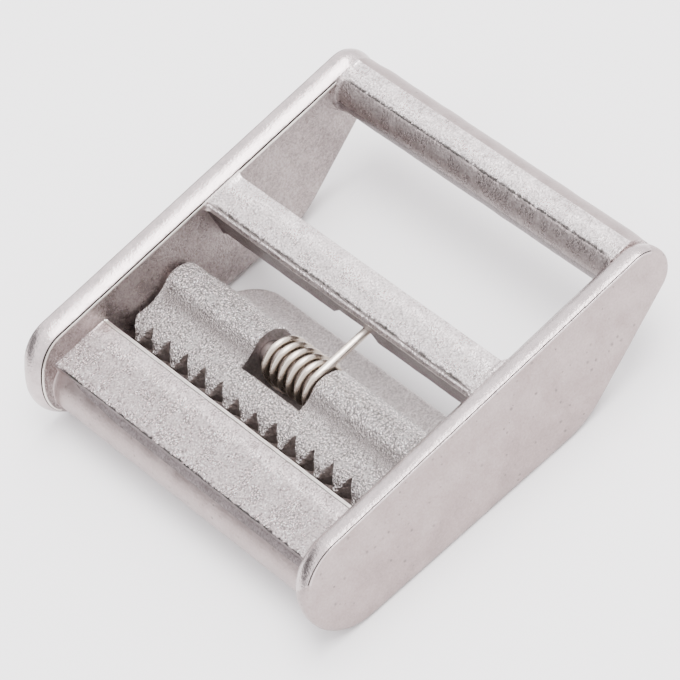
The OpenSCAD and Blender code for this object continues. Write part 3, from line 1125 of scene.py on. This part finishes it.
        def finish(p: np.ndarray, n: np.ndarray) -> np.ndarray:
            """Rubbed grain on the flat top, a parting line of painted highlight, casting skin in painted
            shade below it.

            Args:
                p: the section's points.
                n: their normals.

            Returns:
                A material slot for each point.
            """
            rise, ahead = p[:, 1] - self.blunt_v, p[:, 0] < front
            return dress(
                Surface.SIDE,
                (n[:, 1] > 0.7, Surface.BRIGHT),
                (ahead & (rise < -0.06), Surface.SKIN_PAINTED_SHADE),
                (ahead & (np.abs(rise) < 0.06), Surface.LIP_PAINTED_HIGHLIGHT))

        return Bar("middle_bar", soften(section, 0.08), flare, finish, seed=4.3,
                   edge=(front, top), ceiling=top + 0.22)

    def rear_bar(self) -> Bar:
        """Describes the rear bar, round with a flat top, for the sewn webbing loop.

        Returns:
            The bar.
        """
        turn = math.degrees(math.asin((self.rear_flat - self.rear_centre[1])/self.rear_r))
        section = outline(arc(self.rear_centre, self.rear_r, 180 - turn, 360 + turn, 60))

        def flare(n: np.ndarray) -> np.ndarray:
            """Fillets the front, where the bar faces the webbing window, and the flat a little."""
            return 0.5*ease(-n[:, 0], 0.1, 0.7)*ease(n[:, 1], -0.9, 0.2) + 0.15*ease(n[:, 1], 0.8, 0.99)

        def bow(n: np.ndarray, depth: float) -> np.ndarray:
            """Draws the back of the bar in towards the plates' round ends."""
            return -0.1*(1 - ease(depth, 0.0, 2.5))*ease(n[:, 0] - 0.6*n[:, 1], -0.1, 0.8)

        def finish(p: np.ndarray, n: np.ndarray) -> np.ndarray:
            """Rubbed grain on the flat, a band of painted shade along the front, tumbled steel behind.

            Args:
                p: the section's points, not used.
                n: their normals.

            Returns:
                A material slot for each point.
            """
            turn = np.degrees(np.arctan2(n[:, 1], n[:, 0])) % 360
            return dress(
                Surface.SATIN,
                ((turn > 84) & (turn < 112), Surface.BRIGHT),
                ((turn >= 112) & (turn < 240), Surface.SIDE),
                ((turn >= 166) & (turn < 196), Surface.SKIN_PAINTED_SHADE))

        return Bar("rear_bar", soften(section, 0.12), flare, finish, seed=8.9, bow=bow,
                   edge=(self.rear_edges()[0], self.rear_flat), ceiling=self.rear_flat + 0.15)

    def notch(self, view: SideView, steel: Steels) -> bpy.types.Object:
        """Makes the body that cuts the spring's notch into the middle bar.

        Args:
            view: the side view.
            steel: the casting's materials.

        Returns:
            The cutting body.
        """
        low = self.middle_top - self.middle_h
        half, wide = self.notch_w/2, self.notch_w/2 + self.notch_flare
        section = spread(soften(outline([
            (half, self.parting_v), (-half, self.parting_v), (-wide, low), (-wide, low - 2),
            (half, low - 2)]), 0.4), 0.3)
        front = self.middle_u - self.draft_up
        rings = [view.place(section[:, 0] + self.notch_x, front + depth, section[:, 1])
                 for depth in (-1.0, 0.5*self.notch_depth, self.notch_depth)]
        side = Surface.SIDE.value
        return loft("notch", np.array(rings), lambda r, k: np.full(r.shape, side), (side, side), steel)

    def build(self, view: SideView) -> bpy.types.Object:
        """Makes the casting, dresses it and sets it in the frame.

        Args:
            view: the side view.

        Returns:
            The casting.
        """
        painted_shade_edges, worn_and_painted_light = self.edges(view)
        # The painted shade along the bars' edges goes on the grain, rubbed grain, tumbled and skin finishes
        steel = [finish.build(painted_shade_edges if finish in {GRAIN, BRIGHT, SIDE, SKIN_PAINTED_SHADE} else None,
                              worn_and_painted_light if finish in {GRAIN, BRIGHT} else None)
                 for finish in (SATIN, RIM, GRAIN, SIDE, SEAM_PAINTED_SHADE, LIP_PAINTED_HIGHLIGHT, SKIN_PAINTED_SHADE, BRIGHT)]
        left = SidePlate(-1).build(view, steel)
        # The pin hole's wall takes the seam's painted shade
        hole = bore(view, self.pin_hole_r, self.pin_hole, Surface.SEAM_PAINTED_SHADE.value, steel)
        combine(left, [hole], Join.CUT)
        right = SidePlate(1, nose_recess=0.0, inner_crisp=(60.0, 120.0)).build(view, steel)
        middle = self.middle_bar().build(view, steel)
        combine(middle, [self.notch(view, steel)], Join.CUT)
        casting = self.front_bar().build(view, steel)
        combine(casting, [left, right, middle, self.rear_bar().build(view, steel)], Join.UNITE)
        casting.name = "frame_casting"
        shade(casting, 32)
        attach(casting, "frame")
        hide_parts("cast_frame")
        return casting


@dataclass
class CamLever:
    """The cam casting: toothed ridge, dip, hub with a gap for the spring, and the lever.

    The undercut is drawn from the tooth tips backwards. The hub's span is worked out with the
    sections: it tells which of their points differ between the hub and the gap.
    """

    width: float = 39.15
    shift: float = -0.15
    teeth: int = 14
    pitch: float = 2.82
    tooth_shift: float = 0.15
    tooth_tip: float = 6.98
    tooth_floor: float = 9.19
    tooth_round: float = 0.3
    floor_lean: float = 0.24
    floor_from: float = -4.2
    shallow: float = 0.55
    shallow_x: float = -1.0
    shallow_w: float = 3.5
    undercut: tuple[Pair, ...] = (
        (0.4, -5.36), (0.05, -5.57), (0.0, -5.66), (0.08, -5.8), (0.45, -6.25), (0.75, -6.6),
        (1.1, -7.0), (1.4, -7.4), (1.45, -7.7), (1.2, -7.9), (0.8, -7.95))
    undercut_v: float = -5.62
    tooth_low: float = -7.85
    tooth_rough: float = 0.05
    hub_r: float = 2.45
    hub: Pair = (14.5, -5.6)
    hub_turn: float = 124.0
    ridge: Pair = (9.3, -5.9)
    ridge_r: float = 1.7
    toe: Pair = (7.65, -8.6)
    toe_r: float = 0.7
    lever_t: float = 1.45
    lever_w: float = 37.6
    lever_end: float = 20.5
    lever_corner: float = 5.5
    lever_lift: float = 0.3
    lever_round: float = 0.35
    hub_back: float = 16.5
    middle_u: float = 14.0
    gap_w: float = 9.05
    gap_x: float = -0.68
    gap_front: float = 11.1
    gap_edge: float = 0.16
    plate_h: float = PLATE_H
    crown: float = 0.45
    wedge: float = WEDGE
    dip: Pair = (12.3, -4.1)
    dip_pull: float = 0.95
    dip_way: Pair = (0.97, -0.24)
    dip_lift: float = 1.5
    end_r: float = 0.45
    bore_r: float = 1.28
    bore_span: Pair = (-30.0, 30.0)
    rough_top: float = 0.03
    rough_low: float = 0.008
    flat_h: float = 2.4
    step: float = 0.35
    cuts: int = 7
    hub_span: tuple[int, int] = (0, 0)

    def under(self, u: float) -> float:
        """Height of the plane that the buckle stands on, seen at u."""
        w = math.radians(self.wedge)
        return -self.plate_h - math.tan(w)*u - self.crown/math.cos(w)

    def sections(self) -> tuple[np.ndarray, np.ndarray]:
        """Draws the cam's section through the hub and through the gap.

        Returns:
            Two outlines with the same number of points, which differ only behind the ridge.
        """
        back, end, front = self.hub_back, self.lever_end, self.gap_front
        floor = self.lever_lift + self.lever_t
        bed = self.under(back) + floor
        lever = soften(outline([
            (self.toe[0] + 0.6, self.under(self.toe[0]) + self.lever_lift),
            (end, self.under(end) + self.lever_lift), (end, self.under(end) + floor),
            (back + 0.9, self.under(back + 0.9) + floor), (back, bed + 2)]), self.lever_round)[:-1]
        low = spread(lever, self.step)
        low = low[(low[:, 0] > back + 0.8) | (low[:, 1] < self.under(self.middle_u) + 0.9)]
        top = arc(self.hub, self.hub_r, -10, self.hub_turn, 36)
        crest = arc(self.ridge, self.ridge_r, 85, 150, 16)
        turn = math.radians(self.hub_turn)
        pull = np.array([-math.sin(turn), math.cos(turn)])*self.dip_pull
        lift = np.array(self.dip_way)*self.dip_lift
        s = np.linspace(0, 1, 25)[1:-1, None]
        dip = ((1 - s)**3*top[-1] + 3*(1 - s)**2*s*(top[-1] + pull)
               + 3*(1 - s)*s*s*(crest[0] + lift) + s**3*crest[0])
        near, far = dip[dip[:, 0] < front - 0.05], dip[dip[:, 0] >= front - 0.05]
        tooth = [(self.tooth_tip + behind, v) for behind, v in self.undercut]
        ridge = outline(near, crest, tooth, arc(self.toe, self.toe_r, 110, 270, 10))
        hub = np.concatenate([
            [(back + 0.5, bed + 0.1), (back + 0.22, bed + 0.35), (back + 0.12, bed + 0.75)], top, far])
        wall = 12
        run = np.linspace(back + 0.5, front + 0.5, len(hub) - wall)
        flat = np.stack([run, np.full(len(run), bed + 0.25)], axis=1)
        rise = np.stack([np.linspace(front, front + 0.03, wall - 5),
                         np.linspace(bed + 1.2, near[0][1] - 0.08, wall - 5)], axis=1)
        gap = np.concatenate([flat, arc((front + 0.5, bed + 0.75), 0.5, 262, 180, 4), rise])
        self.hub_span = (len(low), len(low) + len(hub))
        return np.concatenate([low, hub, ridge]), np.concatenate([low, gap, ridge])

    def stations(self) -> list[tuple[float, float, float]]:
        """Lists where the section is drawn.

        Returns:
            For each ring its place across the cam, how far the outline is drawn in there, and
            how much of the gap's section it takes, 0 or 1.
        """
        half, edge = self.width/2, self.gap_edge
        xs = np.linspace(-half, half, self.teeth*2*self.cuts + 1)
        left, right = self.gap_x - self.gap_w/2, self.gap_x + self.gap_w/2
        turn = np.linspace(0, math.pi/2, 5)
        ends = [(self.end_r*(1 - math.cos(a)), self.end_r*(1 - math.sin(a))) for a in turn]
        rows = [(-half + depth, shrink, 0.0) for depth, shrink in ends]
        rows += [(x, 0.0, 0.0) for x in xs if -half + self.end_r + 0.05 < x < left - 0.3]
        rows += [(left - edge + edge*math.sin(a), edge*(1 - math.cos(a)), 0.0) for a in turn[:4]]
        rows += [(left, edge, 0.0), (left + 0.02, 0.0, 1.0)]
        rows += [(x, 0.0, 1.0) for x in xs if left + 0.1 < x < right - 0.1]
        rows += [(right - 0.02, 0.0, 1.0), (right, edge, 0.0)]
        rows += [(right + edge - edge*math.sin(a), edge*(1 - math.cos(a)), 0.0) for a in turn[3::-1]]
        rows += [(x, 0.0, 0.0) for x in xs if right + 0.3 < x < half - self.end_r - 0.05]
        return rows + [(half - depth, shrink, 0.0) for depth, shrink in ends[::-1]]

    def groove(self, x: float, v: np.ndarray) -> np.ndarray:
        """Gives how far forward the toothed face reaches.

        Args:
            x: the place across the cam.
            v: heights on the face.

        Returns:
            The face's place for each height: the grooves' floor, or the teeth's flanks.
        """
        phase = (x - self.tooth_shift + self.width/2)/self.pitch % 1.0
        share = 1 - min(phase, 1 - phase)*2
        if share < self.tooth_round:
            share = share*share/(2*self.tooth_round) + self.tooth_round/2
        sag = self.shallow*math.exp(-((x - self.shallow_x)/self.shallow_w)**2)
        floor = self.tooth_floor - self.floor_lean*(self.floor_from - v) - sag
        return self.tooth_tip + (floor - self.tooth_tip)*share

    def lever_reach(self, x: float) -> float:
        """Tells how far back the lever reaches, with its corners rounded in plan.

        Args:
            x: the place across the cam.

        Returns:
            The lever's end there.
        """
        over = abs(x) - (self.lever_w/2 - self.lever_corner)
        if over <= 0:
            return self.lever_end
        inside = max(self.lever_corner**2 - over*over, 0.0)
        return max(self.hub_back + 0.4, self.lever_end - self.lever_corner + math.sqrt(inside))

    def build(self, view: SideView) -> bpy.types.Object:
        """Makes the cam, dresses it and sets it on its pin.

        Args:
            view: the side view.

        Returns:
            The cam.
        """
        hub, gap = self.sections()
        ground = self.under(self.middle_u)
        rings, worn_and_painted_light, hollow = [], [], []
        for x, shrink, share in self.stations():
            points = (gap if share else hub).copy()
            normals = outward(points)
            where = np.column_stack([np.full(len(points), x), points])
            rough = self.rough_top*ease(points[:, 1], ground + 2.0, ground + 3.2) + self.rough_low
            bumps = cast_bumps(where, 0.55, 2.2) + 0.8*cast_bumps(where, 1.9, 5.0)
            inset = np.full(len(points), shrink)
            if abs(x) < self.width/2 - 1:
                inset[:self.hub_span[0]] = 0
                inset[self.hub_span[1]:] = 0
            points += normals*(rough*bumps - inset)[:, None]
            behind = points[:, 0] > self.hub_back
            scale = (self.lever_reach(x) - self.hub_back)/(self.lever_end - self.hub_back)
            points[behind, 0] = self.hub_back + (points[behind, 0] - self.hub_back)*scale
            cut = self.groove(x, points[:, 1]) + self.tooth_rough*cast_bumps(where, 0.8, 9.0)
            front = (points[:, 1] > self.tooth_low) & (points[:, 0] < cut)
            points[front, 0] = cut[front]
            # Points on the toothed face, whose flanks take the painted light
            worn_and_painted_light.append(front)
            hollow.append(share)
            rings.append(view.place(x + self.shift, *points.T))
        kinds = np.where(hub[:, 1] > ground + self.flat_h, CamSurface.GRAIN.value, CamSurface.FLAT.value)
        kinds[(hub[:, 0] < self.tooth_floor) & (hub[:, 1] < self.undercut_v)] = CamSurface.UNDERCUT_PAINTED_SHADE.value
        worn_and_painted_light, hollow, count = np.array(worn_and_painted_light), np.array(hollow), len(kinds)

        def slots(r: np.ndarray, k: np.ndarray) -> np.ndarray:
            """Gives the grooves' flanks their painted light, and the spring's gap its painted shade.

            Args:
                r: ring numbers.
                k: point numbers.

            Returns:
                A material slot for each face.
            """
            flank = worn_and_painted_light[r, (k + 1) % count] & worn_and_painted_light[r + 1, (k + 1) % count]
            flank = flank & (kinds[k] != CamSurface.UNDERCUT_PAINTED_SHADE.value)
            # The spring's gap takes painted shade
            gap_shade = (hollow[r] + hollow[r + 1] > 0) & (k >= self.hub_span[0]) & (k < self.hub_span[1])
            dressed = np.where(flank, CamSurface.TOOTH_PAINTED_LIGHT.value, kinds[k])
            return np.where(gap_shade, CamSurface.GAP_PAINTED_SHADE.value, dressed)

        # The cam's grain takes a broad painted shade along its dip
        steel = [CAM_GRAIN.build([view.line(self.dip)])]
        steel += [finish.build() for finish in (LEVER_FLAT, TOOTH_PAINTED_LIGHT, GAP_PAINTED_SHADE, UNDERCUT_PAINTED_SHADE)]
        cam = loft("cam_casting", np.array(rings), slots, (0, 0), steel)
        hole = bore(view, self.bore_r, self.bore_span, CamSurface.GRAIN.value, steel)
        combine(cam, [hole], Join.CUT)
        shade(cam, 38)
        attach(cam, "cam")
        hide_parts("cam_lever")
        return cam


@dataclass
class TorsionSpring:
    """The spring on the pin: a coil, a leg on the cam and a leg under the middle bar."""

    wire_d: float = 0.87
    coil_d: float = 5.15
    centre: Pair = (14.54, -5.5)
    turns: float = 5.25
    first_x: float = -3.53
    last_x: float = 3.05
    leg_end: float = 22.2
    leg_drop: float = 0.05
    leg_foot: float = -9.0
    leg_curve: float = 1.4
    foot_lean: float = 0.75
    foot_curve: float = 1.5
    foot_gap: float = 0.2
    tip_share: float = 0.8
    sides: int = 20
    turn_steps: int = 56
    foot_steps: int = 10
    leg_steps: int = 25

    def route(self) -> np.ndarray:
        """Follows the wire's centre line.

        Returns:
            Points of the foot, the coil and the rear leg, in side-view millimetres.
        """
        radius = (self.coil_d - self.wire_d)/2
        t = np.linspace(0, self.turns, round(self.turns*self.turn_steps) + 1)
        angle = np.radians(180 - 360*t)
        coil = np.stack([self.first_x + (self.last_x - self.first_x)*t/self.turns,
                         self.centre[0] + radius*np.cos(angle),
                         self.centre[1] + radius*np.sin(angle)], axis=1)
        start, end = coil[0], coil[-1]
        climb = np.linspace(0.0, 1.0, self.foot_steps)
        foot = np.stack([np.full(self.foot_steps, start[0]),
                         start[1] + self.foot_lean*(1 - climb)**self.foot_curve,
                         self.leg_foot + (start[2] - self.foot_gap - self.leg_foot)*climb], axis=1)
        reach = np.linspace(0.0, 1.0, self.leg_steps + 1)[1:]
        leg = np.stack([np.full(self.leg_steps, end[0]),
                        end[1] + (self.leg_end - end[1])*reach,
                        end[2] - self.leg_drop*reach**self.leg_curve], axis=1)
        return np.concatenate([foot, coil, leg])

    def build(self, view: SideView) -> bpy.types.Object:
        """Makes the spring, dresses it and sets it in the frame.

        Args:
            view: the side view.

        Returns:
            The spring.
        """
        path = self.route()
        along = np.gradient(path, axis=0)
        along /= np.linalg.norm(along, axis=1, keepdims=True)
        across = np.array([1.0, 0.0, 0.0]) - along[:, :1]*along
        across /= np.linalg.norm(across, axis=1, keepdims=True)
        up = np.cross(along, across)
        angle = np.linspace(0, 2*math.pi, self.sides, endpoint=False)
        radius = np.full(len(path), self.wire_d/2)
        radius[[0, -1]] *= self.tip_share
        rings = (path[:, None] + radius[:, None, None]*(
            np.cos(angle)[None, :, None]*across[:, None] + np.sin(angle)[None, :, None]*up[:, None]))
        # Painted shade between the turns, measured from the coil's axis, leaves a painted highlight on each
        # crest
        wire = WIRE.build([view.line(self.centre)])
        placed = view.place(rings[..., 0], rings[..., 1], rings[..., 2])
        spring = loft("spring_coil", placed, lambda r, k: np.zeros(r.shape), (0, 0), [wire])
        shade(spring, 40)
        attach(spring, "frame")
        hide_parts("torsion_spring")
        return spring


@dataclass
class Studio:
    """The pale floor, the soft lights and the camera."""

    target: tuple[float, float, float] = (-0.56, -0.30, 5.43)
    azimuth: float = 70.319
    elevation: float = 44.630
    roll: float = -26.931
    distance: float = 488.99
    lens: float = 280.11
    sensor: float = 36.0
    floor_half: float = 2.0
    floor_colour: str = "ebe9e9"
    floor_roughness: float = 0.9
    sky: str = "f4f3f6"
    sky_low: float = 2.6
    sky_high: float = 3.4
    sky_rise: Pair = (0.05, 0.45)
    shade_to: tuple[float, float, float] = (-0.80, -0.55, 0.24)
    shade_strength: float = 0.35
    shade_fade: Pair = (0.76, 0.93)
    softbox: tuple[float, float, float] = (0.13, 0.24, 0.93)
    softbox_size: Pair = (1.0, 0.5)
    softbox_power: float = 19.0

    def camera(self) -> None:
        """Sets the camera at the photograph's angle."""
        azimuth, elevation = math.radians(self.azimuth), math.radians(self.elevation)
        towards = Vector((math.sin(azimuth)*math.cos(elevation), -math.cos(azimuth)*math.cos(elevation),
                          math.sin(elevation)))
        level = Vector((0, 0, 1)).cross(towards).normalized()
        upright = towards.cross(level)
        turn = math.radians(self.roll)
        right = math.cos(turn)*level + math.sin(turn)*upright
        up = towards.cross(right)
        place = Vector(self.target)*MM + towards*self.distance*MM
        data = bpy.data.cameras.new("camera")
        data.sensor_width = self.sensor
        data.lens = self.lens
        data.clip_start = 0.01
        camera = add_object("camera", data)
        camera.matrix_world = Matrix((
            (right.x, up.x, towards.x, place.x), (right.y, up.y, towards.y, place.y),
            (right.z, up.z, towards.z, place.z), (0, 0, 0, 1)))
        bpy.context.scene.camera = camera

    def floor(self) -> None:
        """Lays the pale floor."""
        s = self.floor_half
        mesh = bpy.data.meshes.new("floor")
        mesh.from_pydata([(-s, -s, 0), (s, -s, 0), (s, s, 0), (-s, s, 0)], [], [(0, 1, 2, 3)])
        floor = add_object("floor", mesh)
        material = bpy.data.materials.new("pale_floor")
        material.use_nodes = True
        shader = material.node_tree.nodes["Principled BSDF"]
        shader.inputs["Base Color"].default_value = linear(self.floor_colour)
        shader.inputs["Roughness"].default_value = self.floor_roughness
        mesh.materials.append(material)

    def light_up(self) -> None:
        """Sets the sky, darker on one side for the rims' shaded bands, and the softbox."""
        world = bpy.data.worlds.new("studio")
        world.use_nodes = True
        tree = world.node_tree
        ground = tree.nodes["Background"]
        ground.inputs["Color"].default_value = linear(self.sky)
        towards = add_node(tree, "TexCoord").outputs["Generated"]
        split = add_node(tree, "SeparateXYZ", {0: towards})
        height = add_node(tree, "MapRange", {
            "Value": split.outputs["Z"], "From Min": self.sky_rise[0], "From Max": self.sky_rise[1],
            "To Min": self.sky_low, "To Max": self.sky_high}, interpolation_type="SMOOTHSTEP")
        facing = add_node(tree, "VectorMath", {0: towards, 1: self.shade_to}, operation="DOT_PRODUCT")
        patch = add_node(tree, "MapRange", {
            "Value": facing.outputs["Value"], "From Min": self.shade_fade[0],
            "From Max": self.shade_fade[1]}, interpolation_type="SMOOTHSTEP")
        blend = add_node(tree, "Mix", {
            "Factor": patch.outputs["Result"], "A": height.outputs["Result"],
            "B": self.shade_strength}, data_type="FLOAT")
        tree.links.new(blend.outputs[0], ground.inputs["Strength"])
        bpy.context.scene.world = world
        data = bpy.data.lights.new("overhead_softbox", "AREA")
        data.shape = "RECTANGLE"
        data.size, data.size_y = self.softbox_size
        data.energy = self.softbox_power
        light = add_object("overhead_softbox", data)
        light.location = self.softbox
        light.rotation_euler = Vector(self.softbox).to_track_quat("Z", "Y").to_euler()


def corners(bounds: tuple[Vector, Vector]) -> list[list[float]]:
    """Turns a box to plain lists of numbers."""
    return [[float(c) for c in corner] for corner in bounds]


def main() -> None:
    """Builds the buckle's pieces around the frame."""
    logging.basicConfig(level=logging.INFO, format="%(message)s")
    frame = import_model()
    studio = Studio()
    studio.camera()
    studio.floor()
    studio.light_up()
    hinge = frame["joints"][0]
    view = SideView(Vector(hinge["pos_m"]))
    for piece in (CastFrame().build(view), CamLever().build(view), TorsionSpring().build(view)):
        LOG.info("%s: %d faces", piece.name, len(piece.data.polygons))
    pin = frame["nodes"]["hinge_pin"]
    pin.data.materials.clear()
    pin.data.materials.append(PIN.build())
    LOG.info("hinge_pin: keeps its CAD mesh")


if __name__ == "__main__":
    main()
